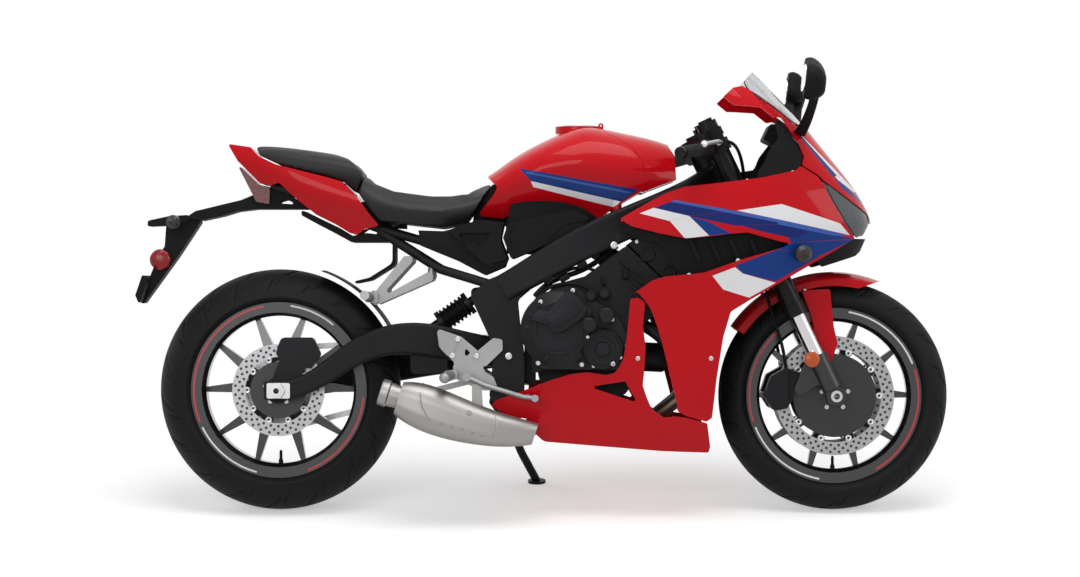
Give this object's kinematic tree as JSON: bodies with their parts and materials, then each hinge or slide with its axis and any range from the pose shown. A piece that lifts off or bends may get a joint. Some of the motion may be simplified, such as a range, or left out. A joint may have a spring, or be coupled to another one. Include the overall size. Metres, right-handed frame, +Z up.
{
  "type": "sport motorcycle",
  "caption": "Faired middleweight sport motorcycle on its side stand, with turning wheels, steering, folding stand and a hinged fuel cap.",
  "frame": {"origin": "on the floor under the middle of the whole bike's box, with the bike leaning on its side stand", "axes": "+X forward along the bike, +Y to the rider's left, +Z up from the floor"},
  "size_m": [2.1209, 0.7981, 1.2016],
  "materials": {
    "red_body": "gloss paint",
    "red_metal": "gloss paint",
    "black_plastic": "textured",
    "black_metal": "satin",
    "frame_paint": "satin",
    "bare_alloy": "satin",
    "brushed": "brushed",
    "chrome": "polished",
    "disc_steel": "ground",
    "wheel_paint": "gloss",
    "tyre": "rubber",
    "rubber": "matt",
    "seat_cover": "grained vinyl",
    "clear_screen": "clear",
    "lamp_lens": "clear",
    "red_lens": "clear red",
    "dark_lens": "smoked"
  },
  "bodies": {
    "chassis": {"main_frame": "frame_paint", "subframe": "black_metal", "engine_block": "black_metal", "cylinder_head": "black_metal", "right_engine_cover": "black_metal", "left_engine_cover": "black_metal", "exhaust_headers": "brushed", "silencer": "brushed", "radiator": "black_metal", "swingarm": "black_metal", "rear_axle": "brushed", "rear_caliper": "black_metal", "chain": "brushed", "chain_guard": "black_plastic", "shock": "black_metal", "fuel_tank": "red_metal", "tank_front_cover": "red_body", "side_covers": "black_plastic", "rider_seat": "seat_cover", "pillion_seat": "seat_cover", "tail_cowl": "red_body", "tail_light": "red_lens", "inner_fender": "black_plastic", "plate_hanger": "black_plastic", "upper_cowl": "red_body", "headlights": "lamp_lens", "turn_lamps": "dark_lens", "windscreen": "clear_screen", "cockpit_panel": "black_plastic", "side_cowl_right": "red_body", "side_cowl_left": "red_body", "inner_cowls": "black_plastic", "lower_cowl": "red_body", "mirrors": "black_plastic", "footpeg_hangers": "bare_alloy", "pillion_hangers": "bare_alloy"},
    "fork": {"lower_yoke": "black_metal", "upper_yoke": "black_metal", "fork_outers": "black_metal", "fork_inners": "chrome", "front_axle": "brushed", "front_calipers": "black_metal", "front_fender": "red_body", "handlebars": "black_metal", "grips": "rubber", "hand_controls": "black_plastic", "hand_levers": "bare_alloy"},
    "front_wheel": {"front_tyre": "tyre", "front_rim": "wheel_paint", "front_discs": "disc_steel"},
    "rear_wheel": {"rear_tyre": "tyre", "rear_rim": "wheel_paint", "rear_disc": "disc_steel", "rear_sprocket": "bare_alloy"},
    "side_stand": {"side_stand": "black_metal"},
    "fuel_cap": {"fuel_cap": "bare_alloy"}
  },
  "joints": [
    {"name": "steering", "type": "hinge", "parent": "chassis", "child": "fork", "pos_m": [0.46805, -0.0317, 0.81132], "axis": [-0.4302, 0.1722, 0.8862], "range_deg": [-30, 30]},
    {"name": "front_wheel_spin", "type": "hinge", "parent": "fork", "child": "front_wheel", "pos_m": [0.76045, -0.13192, 0.29566], "axis": [-0.0001, 0.9816, -0.1908], "continuous": true},
    {"name": "rear_wheel_spin", "type": "hinge", "parent": "chassis", "child": "rear_wheel", "pos_m": [-0.68854, -0.12906, 0.31094], "axis": [-0.0001, 0.9816, -0.1908], "continuous": true},
    {"name": "stand_fold", "type": "hinge", "parent": "chassis", "child": "side_stand", "pos_m": [-0.10858, 0.02007, 0.22366], "axis": [0.065, 0.9329, 0.3543], "range_deg": [0, 100]},
    {"name": "cap_hinge", "type": "hinge", "parent": "chassis", "child": "fuel_cap", "pos_m": [0.15222, 0.00294, 0.98968], "axis": [-0.0001, 0.9816, -0.1908], "range_deg": [0, 95]}
  ]
}
